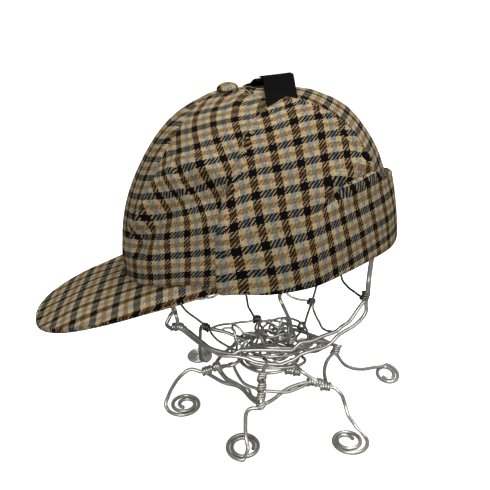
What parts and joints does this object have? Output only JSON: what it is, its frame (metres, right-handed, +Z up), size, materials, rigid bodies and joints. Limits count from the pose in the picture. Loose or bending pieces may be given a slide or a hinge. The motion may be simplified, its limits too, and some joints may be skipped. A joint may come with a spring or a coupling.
{
  "type": "earflap cap on wire hat stand",
  "caption": "Checked wool cap with a stiff peak and turned-up earflaps tied by a ribbon, resting on a wire basket stand with coiled feet.",
  "frame": {"origin": "on the surface the feet stand on, under the middle of the whole part's bounding box", "axes": "+Z up, the peak points along -Y, the wearer's left side is +X"},
  "size_m": [0.1878, 0.3042, 0.2668],
  "materials": {
    "checked_wool": "matte twill wool in a brown, black and blue-grey check on tan",
    "black_ribbon": "matte black ribbon",
    "stand_wire": "dull silver-grey bent wire"
  },
  "bodies": {
    "root": {"crown_front_left": "checked_wool", "crown_front_right": "checked_wool", "crown_back_left": "checked_wool", "crown_back_right": "checked_wool", "top_button": "checked_wool", "peak": "checked_wool", "earflap_left": "checked_wool", "earflap_right": "checked_wool", "strap_left": "black_ribbon", "strap_right": "black_ribbon", "stand_leg_1": "stand_wire", "stand_leg_2": "stand_wire", "stand_leg_3": "stand_wire", "stand_leg_4": "stand_wire", "stand_leg_5": "stand_wire", "stand_leg_6": "stand_wire", "stand_base_ring": "stand_wire", "stand_hub_coil": "stand_wire", "stand_rib_1": "stand_wire", "stand_rib_2": "stand_wire", "stand_rib_3": "stand_wire", "stand_rib_4": "stand_wire", "stand_rib_5": "stand_wire", "stand_rib_6": "stand_wire", "stand_rib_7": "stand_wire", "stand_rib_8": "stand_wire", "stand_ring_low": "stand_wire", "stand_ring_rim": "stand_wire", "stand_ring_top": "stand_wire"}
  },
  "joints": []
}
